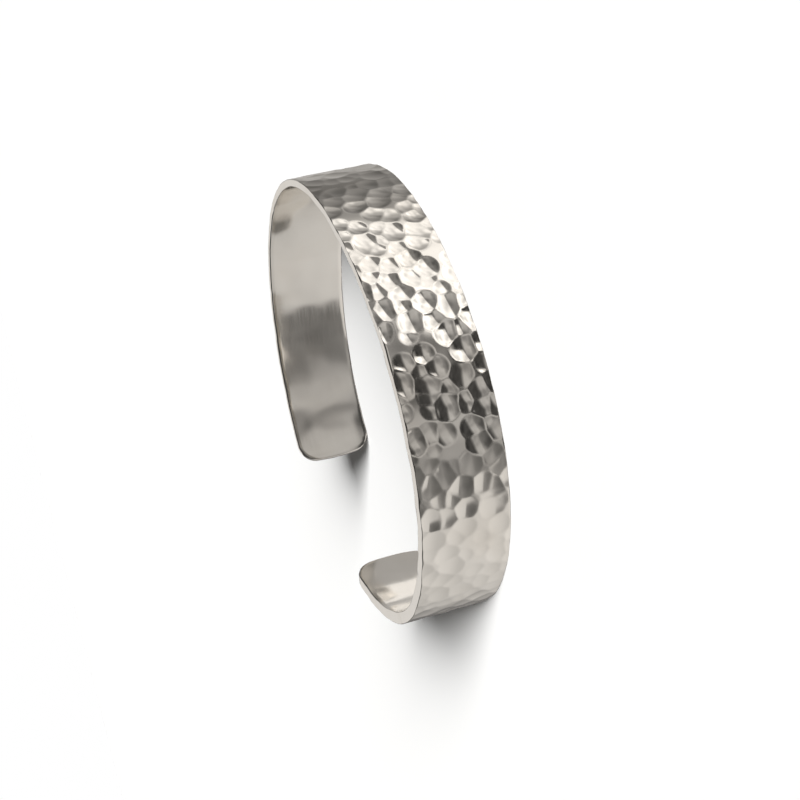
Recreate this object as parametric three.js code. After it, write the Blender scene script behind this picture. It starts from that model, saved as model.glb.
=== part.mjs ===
// An open cuff bracelet: one strip of sterling silver, forged flat, rounded at both ends and bent round into
// an oval C. It lies on its side: the width of the strip stands along +Z, the base edge rests on z = 0, the
// front of the bracelet faces -Y, and the mouth, where the wrist goes in, faces +Y.
// Units are millimetres. The origin is at the middle of the base of the bracelet's own box.
import * as THREE from "three";

// The flat strip, before it is bent.
const STRIP_LENGTH = 162;
const STRIP_WIDTH = 11;
const CORNER_RADIUS = 2.4; // the filed round at each corner of the ends
const END_CROWN = 0.5; // how far the middle of an end stands past its corners' start
const EDGE_BREAK = 0.25; // the edges are broken by this much in the thickness

// How tightly the strip is bent, as the radius of its middle line, and how thick it was forged, at even
// steps along it. Between two stations both change evenly. The strip thins towards its second end.
const STATIONS = [
  { place: "first end", radius: 36, thickness: 1.6 },
  { place: "back, first side", radius: 25.5, thickness: 1.6 },
  { place: "shoulder, first side", radius: 26, thickness: 1.6 },
  { place: "front", radius: 36.5, thickness: 1.3 },
  { place: "shoulder, second side", radius: 27, thickness: 1.0 },
  { place: "back, second side", radius: 34, thickness: 1.0 },
  { place: "second end", radius: 25, thickness: 1.0 },
];

// The grid that the strip is cut into. Rows crowd towards the long edges, where the ends are rounded.
const COLUMNS = 108;
const ROWS = 12;
const WALK_STEPS = 1296; // steps of the walk along the bend, a whole number to each column
const END_ZONE = 10; // the columns bend to the rounded end over this length

const SILVER = new THREE.MeshStandardMaterial({
  name: "silver",
  color: 0xdcd8d2,
  roughness: 0.2,
  metalness: 1,
});

// A property of the strip at a share 0..1 of its length, read off its stations.
function atShare(share, propertyOf) {
  const last = STATIONS.length - 1;
  const station = Math.min(Math.floor(share * last), last - 1);
  const past = share * last - station;
  return THREE.MathUtils.lerp(propertyOf(STATIONS[station]), propertyOf(STATIONS[station + 1]), past);
}

const tightnessAt = (share) => atShare(share, (station) => 1 / station.radius);
const thicknessAt = (share) => atShare(share, (station) => station.thickness);

// Walks along the middle line of the bent strip in the XY plane, turning a little at every step. The line
// passes the middle of the strip heading +X, so the walk's turns are counted from there.
function walkBend() {
  const step = STRIP_LENGTH / WALK_STEPS;
  const headings = [0];
  for (let i = 0; i < WALK_STEPS; i++) {
    headings.push(headings[i] + tightnessAt((i + 0.5) / WALK_STEPS) * step);
  }
  const middleHeading = headings[WALK_STEPS / 2];
  const points = [new THREE.Vector2(0, 0)];
  for (let i = 0; i < WALK_STEPS; i++) {
    const heading = (headings[i] + headings[i + 1]) / 2 - middleHeading;
    const stride = new THREE.Vector2(Math.cos(heading), Math.sin(heading)).multiplyScalar(step);
    points.push(points[i].clone().add(stride));
  }
  return points.map((point, i) => ({ point, heading: headings[i] - middleHeading }));
}

// The place and the outward direction of the middle line, at a distance along it from the strip's middle.
function placeOnBend(walk, along) {
  const at = THREE.MathUtils.clamp(along / STRIP_LENGTH + 0.5, 0, 1) * WALK_STEPS;
  const index = Math.min(Math.floor(at), WALK_STEPS - 1);
  const past = at - index;
  const heading = THREE.MathUtils.lerp(walk[index].heading, walk[index + 1].heading, past);
  return {
    point: walk[index].point.clone().lerp(walk[index + 1].point, past),
    outward: new THREE.Vector2(Math.sin(heading), -Math.cos(heading)),
  };
}

// How much shorter the strip is than its full half length, at a distance across from its middle.
function endCut(across) {
  const halfWidth = STRIP_WIDTH / 2;
  const crown = END_CROWN * (across / halfWidth) ** 2;
  const intoCorner = Math.max(Math.abs(across) - (halfWidth - CORNER_RADIUS), 0);
  return crown + CORNER_RADIUS - Math.sqrt(Math.max(CORNER_RADIUS ** 2 - intoCorner ** 2, 0));
}

// Forges the flat strip: a box that is drawn out thinner along its length, with its rows crowded to the
// edges, its ends rounded and its edges broken. Along is x, across is y, and +z will be the outside.
function forgeStrip() {
  const strip = new THREE.BoxGeometry(STRIP_LENGTH, STRIP_WIDTH, 1, COLUMNS, ROWS, 1);
  const halfLength = STRIP_LENGTH / 2;
  const halfWidth = STRIP_WIDTH / 2;
  const vertex = new THREE.Vector3();
  const positions = strip.getAttribute("position");
  for (let i = 0; i < positions.count; i++) {
    vertex.fromBufferAttribute(positions, i);
    const onRim = Math.abs(vertex.y) > halfWidth - 1e-3 || Math.abs(vertex.x) > halfLength - 1e-3;
    const across = halfWidth * Math.sin((vertex.y / halfWidth) * (Math.PI / 2));
    const nearEnd = Math.max(Math.abs(vertex.x) - (halfLength - END_ZONE), 0) / END_ZONE;
    const along = vertex.x - Math.sign(vertex.x) * nearEnd * endCut(across);
    const halfThickness = thicknessAt(vertex.x / STRIP_LENGTH + 0.5) / 2;
    const depth = onRim ? halfThickness - EDGE_BREAK : halfThickness;
    positions.setXYZ(i, along, across, Math.sign(vertex.z) * depth);
  }
  return strip;
}

// Bends the forged strip round, stands it on its base edge, and centres it over the origin.
function bendStrip(strip) {
  const walk = walkBend();
  const positions = strip.getAttribute("position");
  for (let i = 0; i < positions.count; i++) {
    const { point, outward } = placeOnBend(walk, positions.getX(i));
    point.addScaledVector(outward, positions.getZ(i));
    positions.setXYZ(i, point.x, point.y, positions.getY(i) + STRIP_WIDTH / 2);
  }
  strip.computeBoundingBox();
  const middle = strip.boundingBox.getCenter(new THREE.Vector3());
  strip.translate(-middle.x, -middle.y, 0);
  strip.computeVertexNormals();
  return strip;
}

const band = new THREE.Mesh(bendStrip(forgeStrip()), SILVER);
band.name = "cuff_band";

const cuff = new THREE.Group();
cuff.add(band);

export default cuff;
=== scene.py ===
import math

import bpy
import numpy as np
from mathutils import Matrix, Vector


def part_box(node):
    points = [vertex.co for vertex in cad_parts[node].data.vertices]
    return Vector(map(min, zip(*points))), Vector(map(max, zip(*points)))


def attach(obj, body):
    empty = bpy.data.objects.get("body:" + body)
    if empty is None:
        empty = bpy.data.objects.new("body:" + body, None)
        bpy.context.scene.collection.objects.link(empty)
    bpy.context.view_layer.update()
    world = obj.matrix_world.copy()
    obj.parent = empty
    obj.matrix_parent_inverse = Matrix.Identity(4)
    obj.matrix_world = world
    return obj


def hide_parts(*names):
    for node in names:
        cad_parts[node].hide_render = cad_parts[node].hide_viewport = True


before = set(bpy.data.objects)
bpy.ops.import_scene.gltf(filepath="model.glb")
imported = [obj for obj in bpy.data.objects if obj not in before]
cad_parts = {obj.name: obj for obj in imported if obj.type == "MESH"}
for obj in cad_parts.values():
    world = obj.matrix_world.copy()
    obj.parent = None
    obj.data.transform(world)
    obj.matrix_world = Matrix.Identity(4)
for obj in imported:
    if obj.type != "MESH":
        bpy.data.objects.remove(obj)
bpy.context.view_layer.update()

# ---------------------------------------------------------------------------------------------------------
# The cuff band. One strip of sterling silver, forged flat, its ends filed round, its outer face struck all
# over with a ball hammer on a steel block, its edges and inside polished, and then bent round a mandrel into
# an oval C. It is the whole bracelet, and it lies on its lower edge.
# ---------------------------------------------------------------------------------------------------------
MM = 0.001
band_low, band_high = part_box("cuff_band")
strip_width = band_high.z - band_low.z
strip_length = 162 * MM
end_corner = 2.4 * MM  # filed round at each corner of the ends
end_crown = 0.5 * MM  # the middle of an end stands this far past its corners
end_zone = 10 * MM  # the strip's columns bend to the rounded end over this length
outer_round = 0.16 * MM  # where the struck face meets the polished edge
inner_round = 0.18 * MM  # the side next to the skin is eased more

# The radius of the bend and the thickness of the strip, at seven even stations from the end on the -X side
# of the mouth round to the other.
bend_radii = [36 * MM, 25.5 * MM, 26 * MM, 36.5 * MM, 27 * MM, 34 * MM, 25 * MM]
thicknesses = [1.6 * MM, 1.6 * MM, 1.6 * MM, 1.3 * MM, 1.0 * MM, 1.0 * MM, 1.0 * MM]
bend_steps = 1296


def half_thickness(along):
    """Half of the strip's thickness at a distance along it from its middle."""
    stations = np.linspace(-strip_length / 2, strip_length / 2, len(thicknesses))
    return np.interp(along, stations, thicknesses) / 2


def bend_line():
    """The middle line of the bent strip, seen from above, placed so that the band is central in its box."""
    step = strip_length / bend_steps
    stations = np.linspace(0, bend_steps, len(bend_radii))
    tightness = np.interp(np.arange(bend_steps) + 0.5, stations, [1 / radius for radius in bend_radii])
    heading = np.concatenate([[0], np.cumsum(tightness * step)])
    heading -= heading[bend_steps // 2]
    midway = (heading[1:] + heading[:-1]) / 2
    walked = np.cumsum(np.column_stack([np.cos(midway), np.sin(midway)]) * step, axis=0)
    line = np.vstack([[0, 0], walked])
    depth = half_thickness(np.linspace(-strip_length / 2, strip_length / 2, bend_steps + 1))
    outward = np.column_stack([np.sin(heading), -np.cos(heading)]) * depth[:, None]
    faces = np.vstack([line + outward, line - outward])
    box_middle = np.array(((band_low + band_high) / 2).xy)
    return line - (faces.min(axis=0) + faces.max(axis=0)) / 2 + box_middle


def end_cut(across):
    """How much shorter than the full half length the strip is, at a distance across from its middle."""
    half_width = strip_width / 2
    into_corner = np.clip(np.abs(across) - (half_width - end_corner), 0, end_corner)
    return end_crown * (across / half_width) ** 2 + end_corner - np.sqrt(end_corner**2 - into_corner**2)


def inset(along, across):
    """How far inside the strip's outline a point of its face is."""
    half_width = strip_width / 2
    half_length = strip_length / 2 - end_crown * (across / half_width) ** 2
    past_x = np.abs(along) - (half_length - end_corner)
    past_y = np.abs(across) - (half_width - end_corner)
    outside = np.hypot(np.maximum(past_x, 0), np.maximum(past_y, 0))
    return end_corner - outside - np.minimum(np.maximum(past_x, past_y), 0)


def graded(half, rounding, pitch):
    """Even stations from -half to half, crowded where the edge is rounded over."""
    turn = np.radians([90, 67.5, 45, 22.5, 0])
    rim = half - rounding * (1 - np.sin(turn))
    inner_half = half - rounding
    flat = np.linspace(-inner_half, inner_half, round(2 * inner_half / pitch) + 1)[1:-1]
    return np.concatenate([-rim, flat, rim[::-1]])


def face_of_strip(columns, rows, rounding, side):
    """One face of the flat strip as a grid of points: side is 1 for the outer face and -1 for the inner."""
    x, y = np.meshgrid(columns, rows, indexing="ij")
    near_end = np.clip(np.abs(x) - (strip_length / 2 - end_zone), 0, end_zone) / end_zone
    along = x - np.sign(x) * near_end * end_cut(y)
    short = np.clip(rounding - inset(along, y), 0, rounding)
    short[[0, -1], :] = rounding
    short[:, [0, -1]] = rounding
    fallen = rounding - np.sqrt(rounding**2 - short**2)
    return np.stack([along, y, side * (half_thickness(along) - fallen)], axis=-1)


def outline_of(grid):
    """Indices round the border of a grid of vertices, anticlockwise from its first corner."""
    return np.concatenate([grid[:-1, 0], grid[-1, :-1], grid[:0:-1, -1], grid[0, :0:-1]])


def ladder(upper, lower, upper_along, lower_along):
    """Triangles between two closed rings that may have different numbers of vertices."""
    faces = []
    i = j = 0
    while i < len(upper) or j < len(lower):
        step_upper = j == len(lower) or (i < len(upper) and upper_along[i + 1] <= lower_along[j + 1])
        a, b = upper[i % len(upper)], lower[j % len(lower)]
        if step_upper:
            i += 1
            faces.append((a, b, upper[i % len(upper)]))
        else:
            j += 1
            faces.append((a, b, lower[j % len(lower)]))
    return faces


def ring_travel(points):
    """Distance walked round a closed ring at each of its points, as a share of the whole."""
    closed = np.vstack([points, points[:1]])
    walked = np.concatenate([[0], np.cumsum(np.linalg.norm(np.diff(closed[:, :2], axis=0), axis=1))])
    return walked / walked[-1]


def strip_blank():
    """The flat strip before it is struck: a closed mesh, fine on the outer face and coarse on the inner."""
    outer_columns = graded(strip_length / 2, outer_round, 0.158 * MM)
    outer_rows = graded(strip_width / 2, outer_round, 0.152 * MM)
    inner_columns = graded(strip_length / 2, inner_round, 0.5 * MM)
    inner_rows = graded(strip_width / 2, inner_round, 0.5 * MM)
    outer = face_of_strip(outer_columns, outer_rows, outer_round, 1)
    inner = face_of_strip(inner_columns, inner_rows, inner_round, -1)
    outer_index = np.arange(outer[..., 0].size).reshape(outer.shape[:2])
    inner_index = outer_index.size + np.arange(inner[..., 0].size).reshape(inner.shape[:2])
    points = np.vstack([outer.reshape(-1, 3), inner.reshape(-1, 3)])

    faces = []
    for index, facing in ((outer_index, 1), (inner_index, -1)):
        corners = np.stack([index[:-1, :-1], index[1:, :-1], index[1:, 1:], index[:-1, 1:]], axis=-1)
        faces += corners[..., ::facing].reshape(-1, 4).tolist()

    # The polished edge runs all round between the two faces, with two rings of its own just below the outer
    # rounding, so that it stays flat.
    outer_ring = outline_of(outer_index)
    inner_ring = outline_of(inner_index)
    rings = [outer_ring]
    for lower in (0.06 * MM, 0.2 * MM):
        ring = points[outer_ring].copy()
        ring[:, 2] -= lower
        rings.append(len(points) + np.arange(len(ring)))
        points = np.vstack([points, ring])
    for upper, lower in zip(rings, rings[1:]):
        quads = np.column_stack([upper, lower, np.roll(lower, -1), np.roll(upper, -1)])
        faces += quads.tolist()
    last = rings[-1]
    faces += ladder(last, inner_ring, ring_travel(points[last]), ring_travel(points[inner_ring]))

    mesh = bpy.data.meshes.new("cuff_band_silver")
    mesh.from_pydata(points.tolist(), [], faces)
    struck = mesh.attributes.new("struck", "BOOLEAN", "POINT")
    struck.data.foreach_set("value", (np.arange(len(points)) < outer_index.size).tolist())
    inside = mesh.attributes.new("inside", "FLOAT", "POINT")
    is_inner = (np.arange(len(points)) >= outer_index.size) & (np.arange(len(points)) <= inner_index.max())
    inside.data.foreach_set("value", is_inner.astype(np.float32))
    face_level = mesh.attributes.new("face_level", "FLOAT", "POINT")
    face_level.data.foreach_set("value", half_thickness(points[:, 0]).astype(np.float32))
    corner_vertices = np.zeros(len(mesh.loops), np.int32)
    mesh.loops.foreach_get("vertex_index", corner_vertices)
    strip_map = mesh.uv_layers.new(name="along_strip")
    strip_map.data.foreach_set("uv", points[corner_vertices][:, :2].astype(np.float32).ravel())
    return mesh


def put(tree, kind, links=(), **settings):
    """Adds a node with its settings. Each link names a socket and gives what feeds it or its own value."""
    node = tree.nodes.new(kind)
    for name, value in settings.items():
        setattr(node, name, value)
    for socket, value in dict(links).items():
        if isinstance(value, bpy.types.Node):
            value = value.outputs[0]
        if isinstance(value, bpy.types.NodeSocket):
            tree.links.new(value, node.inputs[socket])
        else:
            node.inputs[socket].default_value = value
    return node


def hammer_and_bend_tree():
    """Strikes the flat strip with a ball hammer, blow after blow, then bends it along the bend line."""
    tree = bpy.data.node_groups.new("hammer_and_bend", "GeometryNodeTree")
    wanted = [
        ("Strip", "NodeSocketGeometry"),
        ("Bend Line", "NodeSocketObject"),
        ("Strip Length", "NodeSocketFloat"),
        ("Strip Width", "NodeSocketFloat"),
        ("Blow Spacing", "NodeSocketFloat"),
        ("Dent Radius", "NodeSocketFloat"),
        ("Hammer Ball Radius", "NodeSocketFloat"),
        ("Hardest Struck At", "NodeSocketFloat"),
        ("Hard Struck Reach", "NodeSocketFloat"),
        ("Light Blow Flatness", "NodeSocketFloat"),
        ("Ridge Rounding", "NodeSocketFloat"),
        ("Forged Unevenness", "NodeSocketFloat"),
        ("Inside Waviness", "NodeSocketFloat"),
        ("Edge Waviness", "NodeSocketFloat"),
        ("Seed", "NodeSocketInt"),
        ("Silver", "NodeSocketMaterial"),
    ]
    for name, socket in wanted:
        tree.interface.new_socket(name, in_out="INPUT", socket_type=socket)
    tree.interface.new_socket("Band", in_out="OUTPUT", socket_type="NodeSocketGeometry")
    given = tree.nodes.new("NodeGroupInput").outputs

    def maths(operation, *values):
        return put(tree, "ShaderNodeMath", enumerate(values), operation=operation).outputs[0]

    def vectors(operation, *values):
        node = put(tree, "ShaderNodeVectorMath", enumerate(values), operation=operation)
        return node.outputs["Value" if operation == "DOT_PRODUCT" else "Vector"]

    def drawn(low, high, blow, stream):
        seed = maths("ADD", given["Seed"], stream)
        links = {2: low, 3: high, "ID": blow, "Seed": seed}
        return put(tree, "FunctionNodeRandomValue", links, data_type="FLOAT").outputs[1]

    # Where the blows land: scattered, but never closer than their spacing, and a little past the edges.
    width_reached = maths("ADD", given["Strip Width"], given["Dent Radius"])
    length_reached = maths("ADD", given["Strip Length"], given["Dent Radius"])
    field = put(tree, "GeometryNodeMeshGrid", {"Size X": length_reached, "Size Y": width_reached,
                                               "Vertices X": 2, "Vertices Y": 2})
    blows_tried = 2.0e6  # to each square metre, which is far more than the spacing lets through
    scatter = put(tree, "GeometryNodeDistributePointsOnFaces",
                  {"Mesh": field, "Distance Min": given["Blow Spacing"], "Density Max": blows_tried,
                   "Seed": given["Seed"]}, distribute_method="POISSON")
    blows = put(tree, "GeometryNodeAttributeDomainSize", {"Geometry": scatter.outputs["Points"]},
                component="POINTCLOUD")

    # Before the blows the forged face is already a little uneven, and no second dent lies under any spot.
    struck_here = put(tree, "GeometryNodeInputNamedAttribute", {"Name": "struck"}, data_type="BOOLEAN")
    forged_patch = 5 * MM
    on_strip = put(tree, "GeometryNodeInputPosition")
    forged = put(tree, "ShaderNodeTexNoise",
                 {"Vector": on_strip, "Scale": 1 / forged_patch, "Detail": 1.0})
    uneven = maths("MULTIPLY", maths("SUBTRACT", forged, 0.5), given["Forged Unevenness"])
    lifted = put(tree, "GeometryNodeSetPosition",
                 {"Geometry": given["Strip"], "Selection": struck_here,
                  "Offset": put(tree, "ShaderNodeCombineXYZ", {2: uneven})})
    marked = put(tree, "GeometryNodeStoreNamedAttribute",
                 {"Geometry": lifted, "Name": "next_level", "Value": 1.0}, data_type="FLOAT", domain="POINT")

    # One turn of the loop is one blow. The ball leaves its own curve wherever it reaches below the metal.
    start = tree.nodes.new("GeometryNodeRepeatInput")
    finish = tree.nodes.new("GeometryNodeRepeatOutput")
    start.pair_with_output(finish)
    tree.links.new(blows.outputs["Point Count"], start.inputs["Iterations"])
    tree.links.new(marked.outputs[0], start.inputs["Geometry"])
    blow = start.outputs["Iteration"]
    landed = put(tree, "GeometryNodeSampleIndex",
                 {"Geometry": scatter.outputs["Points"], "Value": put(tree, "GeometryNodeInputPosition"),
                  "Index": blow}, data_type="FLOAT_VECTOR")
    here = put(tree, "GeometryNodeInputPosition").outputs[0]
    away = vectors("MULTIPLY", vectors("SUBTRACT", here, landed.outputs[0]), (1, 1, 0))
    turned = put(tree, "ShaderNodeVectorRotate",
                 {"Vector": away, "Angle": drawn(0.0, math.pi, blow, 1)}, rotation_type="Z_AXIS").outputs[0]
    narrowest = 0.86  # how far from round a dent may be
    oval = put(tree, "ShaderNodeCombineXYZ", {0: drawn(narrowest, 1.0, blow, 2), 1: 1.0, 2: 0.0})
    shaped = vectors("MULTIPLY", turned, oval.outputs[0])
    reach_squared = vectors("DOT_PRODUCT", shaped, shaped)
    smallest, largest = 0.72, 1.22  # as shares of the dent radius
    dent_radius = maths("MULTIPLY", given["Dent Radius"], drawn(smallest, largest, blow, 3))
    along_blow = put(tree, "ShaderNodeSeparateXYZ", {0: landed.outputs[0]}).outputs[0]
    from_hardest = maths("ABSOLUTE", maths("SUBTRACT", along_blow, given["Hardest Struck At"]))
    fading_out = 6 * MM  # the hard blows turn to light ones over this length
    flatness = put(tree, "ShaderNodeMapRange",
                   {"Value": from_hardest, "From Min": given["Hard Struck Reach"],
                    "From Max": maths("ADD", given["Hard Struck Reach"], fading_out),
                    "To Min": 1.0, "To Max": given["Light Blow Flatness"]},
                   interpolation_type="SMOOTHSTEP").outputs[0]
    roundest, flattest = 0.8, 1.3  # no blow leaves quite the ball's own curve
    twice_ball = maths("MULTIPLY", maths("MULTIPLY", given["Hammer Ball Radius"], flatness),
                       drawn(2 * roundest, 2 * flattest, blow, 4))
    sunk = maths("DIVIDE", maths("MULTIPLY", dent_radius, dent_radius), twice_ball)
    rise = maths("DIVIDE", reach_squared, twice_ball)
    most_lean = 0.09  # the most that a hard blow slopes each way, and light ones slope less
    lean = put(tree, "ShaderNodeCombineXYZ",
               {0: drawn(-most_lean, most_lean, blow, 5), 1: drawn(-most_lean, most_lean, blow, 6)})
    leaning = maths("DIVIDE", vectors("DOT_PRODUCT", away, lean.outputs[0]), flatness)
    level_attribute = {"Name": "face_level"}
    face_level = put(tree, "GeometryNodeInputNamedAttribute", level_attribute, data_type="FLOAT").outputs[0]
    ball_level = maths("ADD", maths("ADD", maths("SUBTRACT", face_level, sunk), rise), leaning)
    parts = put(tree, "ShaderNodeSeparateXYZ", {0: here})
    blend = maths("MULTIPLY", given["Ridge Rounding"], 0.2)  # much narrower than the ridge's own width
    metal = maths("SMOOTH_MIN", parts.outputs[2], ball_level, blend)
    pressed = put(tree, "ShaderNodeCombineXYZ", {0: parts.outputs[0], 1: parts.outputs[1], 2: metal})
    is_struck = put(tree, "GeometryNodeInputNamedAttribute", {"Name": "struck"}, data_type="BOOLEAN")
    blow_reach = 2.6 * MM  # a blow is not followed farther out than this
    near_blow = put(tree, "FunctionNodeCompare", {0: reach_squared, 1: blow_reach**2},
                    data_type="FLOAT", operation="LESS_THAN")
    reached = put(tree, "FunctionNodeBooleanMath", {0: is_struck, 1: near_blow}, operation="AND")
    # The shallower of the metal and the ball is kept too: where the two nearly meet, a ridge stands.
    next_attribute = {"Name": "next_level"}
    next_level = put(tree, "GeometryNodeInputNamedAttribute", next_attribute, data_type="FLOAT").outputs[0]
    shallower = maths("MINIMUM", next_level, maths("MAXIMUM", parts.outputs[2], ball_level))
    compared = put(tree, "GeometryNodeStoreNamedAttribute",
                   {"Geometry": start.outputs["Geometry"], "Selection": reached, "Name": "next_level",
                    "Value": shallower}, data_type="FLOAT", domain="POINT")
    strike = put(tree, "GeometryNodeSetPosition",
                 {"Geometry": compared, "Selection": reached, "Position": pressed})
    tree.links.new(strike.outputs[0], finish.inputs["Geometry"])

    # How near each spot is to a ridge, kept for the finish: ridges take the wear.
    over_ridge = maths("SUBTRACT", next_level, parts.outputs[2])
    ridge = put(tree, "ShaderNodeMapRange",
                {"Value": over_ridge, "From Min": 0.0, "From Max": given["Ridge Rounding"], "To Min": 1.0,
                 "To Max": 0.0})
    noted = put(tree, "GeometryNodeStoreNamedAttribute",
                {"Geometry": finish.outputs["Geometry"], "Name": "ridge", "Value": ridge},
                data_type="FLOAT", domain="POINT")

    # Forging leaves the inside gently wavy and the long edges not quite straight.
    inside_wave = 6.5 * MM
    waves = put(tree, "ShaderNodeTexNoise", {"Vector": here, "Scale": 1 / inside_wave, "Detail": 1.0})
    inside = put(tree, "GeometryNodeInputNamedAttribute", {"Name": "inside"}, data_type="FLOAT")
    half_length = maths("DIVIDE", given["Strip Length"], 2.0)
    end_share = maths("DIVIDE", maths("ABSOLUTE", parts.outputs[0]), half_length)
    wavy_middle, wavier_ends = 0.7, 1.6  # the ends are the waviest
    by_end = maths("ADD", maths("MULTIPLY", maths("POWER", end_share, 6.0), wavier_ends), wavy_middle)
    wave = maths("MULTIPLY", maths("MULTIPLY", maths("SUBTRACT", waves, 0.5), given["Inside Waviness"]),
                 maths("MULTIPLY", inside, by_end))
    side = maths("SIGN", parts.outputs[1])
    side_of_strip = put(tree, "ShaderNodeCombineXYZ", {0: parts.outputs[0], 1: side})
    edge_wave = 4.5 * MM
    edge_noise = put(tree, "ShaderNodeTexNoise",
                     {"Vector": side_of_strip, "Scale": 1 / edge_wave, "Detail": 2.0, "Roughness": 0.65})
    half_width = maths("DIVIDE", given["Strip Width"], 2.0)
    edge_share = maths("POWER", maths("DIVIDE", maths("ABSOLUTE", parts.outputs[1]), half_width), 3.0)
    least_noise = 0.3  # the noise hardly falls below this, so the edges reach the strip's full width
    above_least = maths("SUBTRACT", edge_noise, least_noise)
    pulled_in = maths("MULTIPLY", maths("MULTIPLY", above_least, given["Edge Waviness"]), edge_share)
    across = maths("SUBTRACT", parts.outputs[1], maths("MULTIPLY", side, pulled_in))
    depth = maths("ADD", parts.outputs[2], wave)

    # The bend: each cross-section is carried to its place on the bend line and stood upright.
    line = put(tree, "GeometryNodeObjectInfo", {"Object": given["Bend Line"]}, transform_space="ORIGINAL")
    share = maths("ADD", maths("DIVIDE", parts.outputs[0], given["Strip Length"]), 0.5)
    on_line = put(tree, "GeometryNodeSampleCurve",
                  {"Curves": line.outputs["Geometry"], "Factor": share}, mode="FACTOR", use_all_curves=True)
    outward = vectors("NORMALIZE", vectors("CROSS_PRODUCT", on_line.outputs["Tangent"], (0, 0, 1)))
    out_by = put(tree, "ShaderNodeVectorMath", {0: outward, "Scale": depth}, operation="SCALE")
    up_by = put(tree, "ShaderNodeCombineXYZ", {2: maths("ADD", across, half_width)})
    place = vectors("ADD", vectors("ADD", on_line.outputs["Position"], out_by.outputs[0]), up_by.outputs[0])
    bent = put(tree, "GeometryNodeSetPosition", {"Geometry": noted, "Position": place})
    smooth = put(tree, "GeometryNodeSetShadeSmooth", {"Geometry": bent})
    real = put(tree, "GeometryNodeRealizeInstances", {"Geometry": smooth})
    finished = put(tree, "GeometryNodeSetMaterial", {"Geometry": real, "Material": given["Silver"]})
    put(tree, "NodeGroupOutput", {0: finished})
    return tree


def linear(hex_colour):
    """An sRGB hex colour as the linear RGBA that the shaders take."""
    channels = [int(hex_colour[i : i + 2], 16) / 255 for i in (1, 3, 5)]
    return [c / 12.92 if c <= 0.04045 else ((c + 0.055) / 1.055) ** 2.4 for c in channels] + [1.0]


def polished_sterling_silver():
    """Sterling silver, burnished by the hammer outside and buffed by hand inside. Outside it mirrors the
    room with crisp edges, inside the buffing's fine lines blur it, and faint warm tarnish lies on both."""
    silver = bpy.data.materials.new("polished_sterling_silver")
    silver.use_nodes = True
    tree = silver.node_tree
    tree.nodes.clear()
    place = put(tree, "ShaderNodeTexCoord").outputs["Object"]
    strip_map = put(tree, "ShaderNodeUVMap", uv_map="along_strip")
    inside = put(tree, "ShaderNodeAttribute", attribute_name="inside").outputs["Fac"]
    ridge = put(tree, "ShaderNodeAttribute", attribute_name="ridge").outputs["Fac"]

    # Tarnish comes in faint patches. The ridges between dents are worn a little dull.
    patch = 7 * MM
    patches = put(tree, "ShaderNodeTexNoise", {"Vector": place, "Scale": 1 / patch, "Detail": 3.0})
    tarnish = put(tree, "ShaderNodeMapRange",
                  {"Value": patches, "From Min": 0.45, "From Max": 0.8, "To Min": 0.0, "To Max": 0.35})
    colour = put(tree, "ShaderNodeMix",
                 {"Factor": tarnish, "A": linear("#F2EFEA"), "B": linear("#DDD5CA")}, data_type="RGBA")

    # Buffing lines run along the strip: 0.12 mm apart and 4 mm long. Real ones are finer than can be seen.
    line_length, line_spacing = 4 * MM, 0.12 * MM
    lines = put(tree, "ShaderNodeMapping",
                {"Vector": strip_map, "Scale": (1 / line_length, 1 / line_spacing, 1)})
    buffing = put(tree, "ShaderNodeTexNoise", {"Vector": lines, "Scale": 1.0, "Detail": 2.0})
    rough_inside = put(tree, "ShaderNodeMapRange",
                       {"Value": buffing, "From Min": 0.3, "From Max": 0.7, "To Min": 0.09, "To Max": 0.16})
    rough_outside = put(tree, "ShaderNodeMapRange",
                        {"Value": patches, "From Min": 0.3, "From Max": 0.75,
                         "To Min": 0.05, "To Max": 0.11})
    rough_ridge = 0.2
    worn = put(tree, "ShaderNodeMix", {"Factor": ridge, "A": rough_outside, "B": rough_ridge},
               data_type="FLOAT")
    rough = put(tree, "ShaderNodeMix", {"Factor": inside, "A": worn, "B": rough_inside}, data_type="FLOAT")
    line_strength, line_depth = 0.035, 0.02 * MM
    crisp = put(tree, "ShaderNodeMath", {0: inside, 1: line_strength}, operation="MULTIPLY")
    fine_lines = put(tree, "ShaderNodeBump",
                     {"Strength": crisp, "Distance": line_depth, "Height": buffing})
    shader = put(tree, "ShaderNodeBsdfPrincipled",
                 {"Base Color": colour.outputs[2], "Metallic": 1.0, "Roughness": rough.outputs[0],
                  "Normal": fine_lines})
    put(tree, "ShaderNodeOutputMaterial", {"Surface": shader})
    return silver


bend = bpy.data.curves.new("bend_line", "CURVE")
bend.dimensions = "3D"
spline = bend.splines.new("POLY")
line_points = bend_line()
spline.points.add(len(line_points) - 1)
for spot, (x, y) in zip(spline.points, line_points):
    spot.co = (x, y, band_low.z, 1)
bend_object = bpy.data.objects.new("bend_line", bend)
bpy.context.scene.collection.objects.link(bend_object)

blank = bpy.data.objects.new("strip_blank", strip_blank())
bpy.context.scene.collection.objects.link(blank)
tree = hammer_and_bend_tree()
forging = blank.modifiers.new("forging", "NODES")
forging.node_group = tree
sizes = {
    "Bend Line": bend_object,
    "Strip Length": strip_length,
    "Strip Width": strip_width,
    "Blow Spacing": 1.7 * MM,
    "Dent Radius": 1.36 * MM,
    "Hammer Ball Radius": 5.0 * MM,
    "Hardest Struck At": -11 * MM,
    "Hard Struck Reach": 15 * MM,
    "Light Blow Flatness": 2.2,
    "Ridge Rounding": 0.06 * MM,
    "Forged Unevenness": 0.09 * MM,
    "Inside Waviness": 0.20 * MM,
    "Edge Waviness": 0.30 * MM,
    "Seed": 11,
    "Silver": polished_sterling_silver(),
}
for socket in tree.interface.items_tree:
    if socket.in_out == "INPUT" and socket.name in sizes:
        forging[socket.identifier] = sizes[socket.name]
forged = blank.evaluated_get(bpy.context.evaluated_depsgraph_get())
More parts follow.
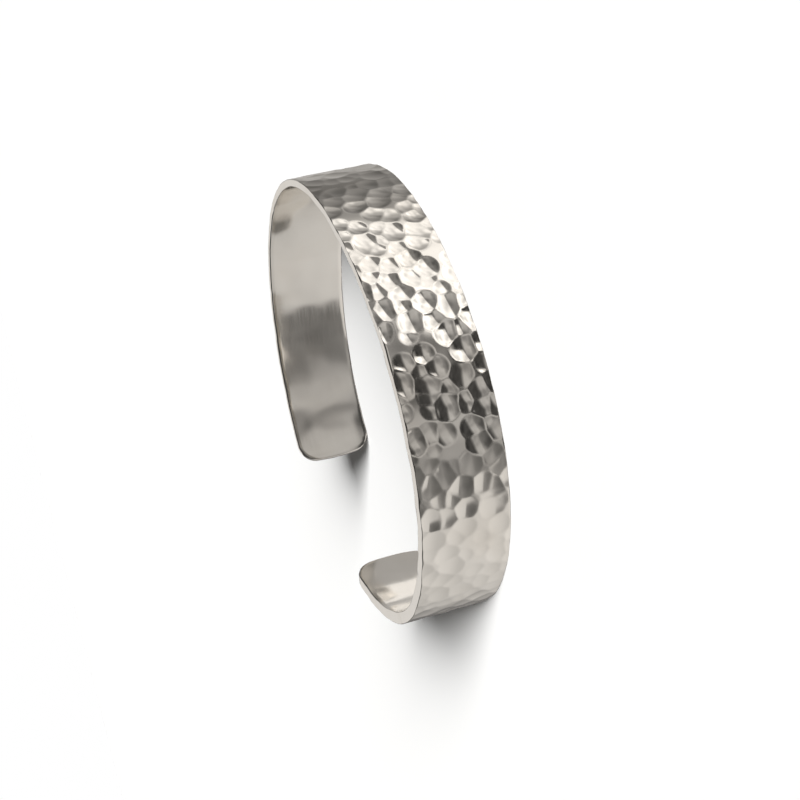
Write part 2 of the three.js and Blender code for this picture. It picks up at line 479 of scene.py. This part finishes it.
band_mesh = bpy.data.meshes.new_from_object(forged)
band_mesh.name = "cuff_band_silver"
blank.modifiers.remove(forging)
bpy.data.objects.remove(blank)
bpy.data.objects.remove(bend_object)

band = bpy.data.objects.new("hammered_cuff_band", band_mesh)
bpy.context.scene.collection.objects.link(band)
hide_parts("cuff_band")
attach(band, "root")

# ---------------------------------------------------------------------------------------------------------
# The table. A plain white top that the bracelet lies on, lit so evenly that it has no edge. The silver does
# not mirror it: it mirrors the studio all round instead.
# ---------------------------------------------------------------------------------------------------------
table_half = 3.0
table_mesh = bpy.data.meshes.new("white_table")
corners = [(-1, -1), (1, -1), (1, 1), (-1, 1)]
corners = [(x * table_half, y * table_half, band_low.z) for x, y in corners]
table_mesh.from_pydata(corners, [], [(0, 1, 2, 3)])
white_top = bpy.data.materials.new("white_table_top")
white_top.use_nodes = True
tree = white_top.node_tree
tree.nodes.clear()
lit = put(tree, "ShaderNodeBsdfDiffuse", {"Color": linear("#F4F4F3")})
glow = put(tree, "ShaderNodeEmission", {"Color": linear("#FFFFFE"), "Strength": 0.02})
both = put(tree, "ShaderNodeAddShader", {0: lit, 1: glow})
put(tree, "ShaderNodeOutputMaterial", {"Surface": both})
table_mesh.materials.append(white_top)
table = bpy.data.objects.new("white_table", table_mesh)
bpy.context.scene.collection.objects.link(table)
table.visible_glossy = False

# ---------------------------------------------------------------------------------------------------------
# The studio. White cloth hangs past the front of the bracelet and a white sweep runs behind it. Between
# them the room is unlit. The silver shows it as bands: bright cloth, dark room, pale sweep, grey wall.
# ---------------------------------------------------------------------------------------------------------
# How bright the lit side is, by compass bearing in degrees from +X towards +Y. These tones and those below are
# matched to how the silver should look, and are not those of any real room.
lit_round = [
    (0, 0.19), (11, 0.29), (27, 0.50), (42, 0.52), (58, 0.20), (70, 0.17), (84, 0.36), (96, 0.56),
    (120, 0.62), (140, 0.66), (172, 0.62), (200, 0.50), (215, 1.05), (302, 1.15), (317, 1.15), (324, 0.75),
    (331, 0.46), (342, 0.31), (360, 0.19),
]
# How much of the dark room's light each bearing has.
dark_round = [
    (0, 1.0), (160, 1.0), (174, 0.65), (188, 0.72), (200, 0.72), (208, 0.80), (218, 0.92), (233, 0.90),
    (245, 0.95), (258, 1.1), (272, 0.60), (335, 0.60), (360, 1.0),
]
# How far below level the middle of the dark room's pale wall is, by bearing.
wall_drop = [(0, 24), (192, 24), (215, 16), (232, 7.5), (360, 7.5)]
# How bright the dark room is, by degrees above the middle of that wall: a bright floor far below, a black
# skirting, the pale wall, and a dark ceiling.
dark_heights = [
    (-120, 0.75), (-74, 0.75), (-42, 0.60), (-31, 0.05), (-13, 0.07), (-9.5, 0.18), (-6.5, 0.37),
    (6.5, 0.40), (9.5, 0.26), (14, 0.20), (24, 0.14), (41, 0.06), (120, 0.04),
]
# How much of the lit side's light each height has.
lit_heights = [
    (-90, 0.10), (-58, 0.12), (-46, 1.3), (-32, 1.3), (-17, 1.06), (-10, 0.86), (-4, 0.82), (10, 0.76),
    (16, 0.62), (22, 0.15), (37, 0.07), (90, 0.05),
]
# A white card stands where only the long edges mirror it: its middle and half size, in degrees.
card_bearing, card_height = 51, 16
card_half_width, card_half_height = 17, 12
card_white = 0.72
reflected_height = -17  # the band's own face mirrors the studio at about this height
cloth_edge = 265  # bearing of the cloth's edge at that height
cloth_slant = 3.2  # degrees of bearing to each degree of height above it
cloth_slants_over = (-3.0, 18.0)  # the heights above it between which the edge slants
cloth_blur = 2.6
sweep_edge = 172
sweep_slant = -3.5
sweep_slants_over = (-4.0, 1.3)
sweep_blur = 2.0
patchiness = 3.5  # how finely the room's clutter and the cloth's folds are broken up


def by_table(tree, value, table, low, high):
    """A Float Curve that gives a table's second column for its first, in straight runs."""
    most = max(light for _, light in table)
    share = put(tree, "ShaderNodeMapRange", {"Value": value, "From Min": low, "From Max": high})
    node = put(tree, "ShaderNodeFloatCurve", {"Value": share})
    curve = node.mapping.curves[0]
    while len(curve.points) < len(table):
        curve.points.new(0.5, 0.5)
    for point, (at, light) in zip(curve.points, table):
        point.location = ((at - low) / (high - low), light / most)
        point.handle_type = "VECTOR"
    node.mapping.update()
    return put(tree, "ShaderNodeMath", {0: node, 1: most}, operation="MULTIPLY")


def soft_studio():
    """The studio as a world: what it looks like in each direction from the bracelet."""
    studio = bpy.data.worlds.new("soft_studio")
    studio.use_nodes = True
    tree = studio.node_tree
    tree.nodes.clear()

    def maths(operation, *values):
        return put(tree, "ShaderNodeMath", enumerate(values), operation=operation).outputs[0]

    toward = put(tree, "ShaderNodeTexCoord").outputs["Generated"]
    round_share = put(tree, "ShaderNodeTexGradient", {"Vector": toward}, gradient_type="RADIAL")
    from_plus_x = maths("ADD", round_share.outputs["Fac"], 0.5)
    bearing = maths("MULTIPLY", maths("FRACT", from_plus_x), 360.0)
    up = put(tree, "ShaderNodeSeparateXYZ", {0: toward}).outputs[2]
    height = maths("DEGREES", maths("ARCSINE", up))
    above = maths("SUBTRACT", height, float(reflected_height))

    lit = maths("MULTIPLY", by_table(tree, bearing, lit_round, 0, 360),
                by_table(tree, height, lit_heights, -90, 90))
    above_wall = maths("ADD", height, by_table(tree, bearing, wall_drop, 0, 360))
    dark = maths("MULTIPLY", by_table(tree, bearing, dark_round, 0, 360),
                 by_table(tree, above_wall, dark_heights, -120, 120))
    clutter = put(tree, "ShaderNodeTexNoise", {"Vector": toward, "Scale": patchiness, "Detail": 1.0})
    uneven = put(tree, "ShaderNodeMapRange",
                 {"Value": clutter, "From Min": 0.35, "From Max": 0.65, "To Min": 0.7, "To Max": 1.35})
    dark = maths("MULTIPLY", dark, uneven)

    def edge(bearing_there, slant, slants_over, softness):
        reach = put(tree, "ShaderNodeClamp", {0: above, 1: slants_over[0], 2: slants_over[1]})
        at = maths("ADD", maths("MULTIPLY", reach, slant), float(bearing_there))
        past = maths("SUBTRACT", bearing, at)
        return put(tree, "ShaderNodeMapRange", {"Value": past, "From Min": -softness, "From Max": softness},
                   interpolation_type="SMOOTHSTEP").outputs[0]

    past_sweep = edge(sweep_edge, sweep_slant, sweep_slants_over, sweep_blur)
    past_cloth = edge(cloth_edge, cloth_slant, cloth_slants_over, cloth_blur)
    in_dark = maths("MULTIPLY", past_sweep, maths("SUBTRACT", 1.0, past_cloth))
    folds = put(tree, "ShaderNodeTexNoise", {"Vector": toward, "Scale": patchiness, "Detail": 1.0})
    fold_shade = put(tree, "ShaderNodeMapRange",
                     {"Value": folds, "From Min": 0.35, "From Max": 0.65, "To Min": 0.6, "To Max": 1.2})
    cloth = put(tree, "ShaderNodeMix", {"Factor": past_cloth, "A": 1.0, "B": fold_shade}, data_type="FLOAT")
    lit = maths("MULTIPLY", lit, cloth.outputs[0])
    hung = put(tree, "ShaderNodeMix", {"Factor": in_dark, "A": lit, "B": dark}, data_type="FLOAT").outputs[0]

    def within(value, middle, half):
        off = maths("ABSOLUTE", maths("SUBTRACT", value, float(middle)))
        blur = 0.8
        return put(tree, "ShaderNodeMapRange",
                   {"Value": off, "From Min": half + blur, "From Max": half - blur},
                   interpolation_type="SMOOTHSTEP").outputs[0]

    on_card = maths("MULTIPLY", within(bearing, card_bearing, card_half_width),
                    within(height, card_height, card_half_height))
    level = put(tree, "ShaderNodeMix", {"Factor": on_card, "A": hung, "B": card_white}, data_type="FLOAT")
    around = put(tree, "ShaderNodeBackground", {"Color": linear("#FFFBF6"), "Strength": level.outputs[0]})
    backdrop = put(tree, "ShaderNodeBackground", {"Color": linear("#FFFFFF"), "Strength": 1.0})
    seen = put(tree, "ShaderNodeLightPath").outputs["Is Camera Ray"]
    chosen = put(tree, "ShaderNodeMixShader", {0: seen, 1: around, 2: backdrop})
    put(tree, "ShaderNodeOutputWorld", {"Surface": chosen})
    return studio


bpy.context.scene.world = soft_studio()

# A small card beyond the mouth, part grey and part white, placed for the inside of the band's end to mirror.
# It stands lower than the table's top, which the silver doesn't mirror.
card_x = 60 * MM
card_near_y, card_far_y = -12 * MM, 50 * MM
card_low_z, card_high_z = -25 * MM, -7.5 * MM
white_from_y = 22 * MM
card_grey, card_pure_white = 0.42, 1.0
card_mesh = bpy.data.meshes.new("small_card")
card_corners = [(card_x, card_near_y, card_low_z), (card_x, card_far_y, card_low_z),
                (card_x, card_far_y, card_high_z), (card_x, card_near_y, card_high_z)]
card_mesh.from_pydata(card_corners, [], [(3, 2, 1, 0)])
card_paper = bpy.data.materials.new("grey_and_white_card")
card_paper.use_nodes = True
tree = card_paper.node_tree
tree.nodes.clear()
along_card = put(tree, "ShaderNodeSeparateXYZ", {0: put(tree, "ShaderNodeTexCoord").outputs["Object"]})
paleness = put(tree, "ShaderNodeMapRange",
               {"Value": along_card.outputs[1], "From Min": white_from_y - 1 * MM,
                "From Max": white_from_y + 1 * MM, "To Min": card_grey, "To Max": card_pure_white})
paper = put(tree, "ShaderNodeEmission", {"Color": linear("#FFFBF6"), "Strength": paleness})
put(tree, "ShaderNodeOutputMaterial", {"Surface": paper})
card_mesh.materials.append(card_paper)
card = bpy.data.objects.new("small_card", card_mesh)
bpy.context.scene.collection.objects.link(card)
card.visible_camera = False
card.visible_diffuse = False
card.visible_shadow = False
bpy.context.scene.view_settings.view_transform = "Standard"

# A broad soft light from beyond the front of the bracelet, which gives the table its one soft shadow.
soft_light = bpy.data.lights.new("broad_soft_light", "SUN")
soft_light.energy = 9.5
soft_light.angle = math.radians(31)
light_bearing = math.radians(-106)
light_height = math.radians(20)
toward_light = Vector((math.cos(light_bearing) * math.cos(light_height),
                       math.sin(light_bearing) * math.cos(light_height),
                       math.sin(light_height)))
soft_light_object = bpy.data.objects.new("broad_soft_light", soft_light)
soft_light_object.rotation_euler = toward_light.to_track_quat("Z", "Y").to_euler()
soft_light_object.location = toward_light * 0.5
soft_light_object.visible_glossy = False
bpy.context.scene.collection.objects.link(soft_light_object)

# ---------------------------------------------------------------------------------------------------------
# The camera looks past the top edge of the front of the band to the inside of its far side, from a little
# above the table. It is rolled, so that the bracelet appears to stand on its curve.
# ---------------------------------------------------------------------------------------------------------
look_at = Vector((-8.10 * MM, -7.69 * MM, strip_width / 2))
camera_azimuth = math.radians(-39.86)
camera_elevation = math.radians(15.63)
camera_roll = math.radians(-103.6)
camera_distance = 170 * MM
backward = Vector((math.sin(camera_azimuth) * math.cos(camera_elevation),
                   -math.cos(camera_azimuth) * math.cos(camera_elevation),
                   math.sin(camera_elevation)))
level_right = Vector((math.cos(camera_azimuth), math.sin(camera_azimuth), 0))
level_up = backward.cross(level_right)
turned = Matrix((level_right, level_up, backward)).transposed().to_4x4()
lens = bpy.data.cameras.new("camera")
lens.sensor_width = 36
lens.lens = 61.9
lens.clip_start = 0.005
camera = bpy.data.objects.new("camera", lens)
camera.matrix_world = (Matrix.Translation(look_at + backward * camera_distance) @ turned
                       @ Matrix.Rotation(camera_roll, 4, "Z"))
bpy.context.scene.collection.objects.link(camera)
bpy.context.scene.camera = camera
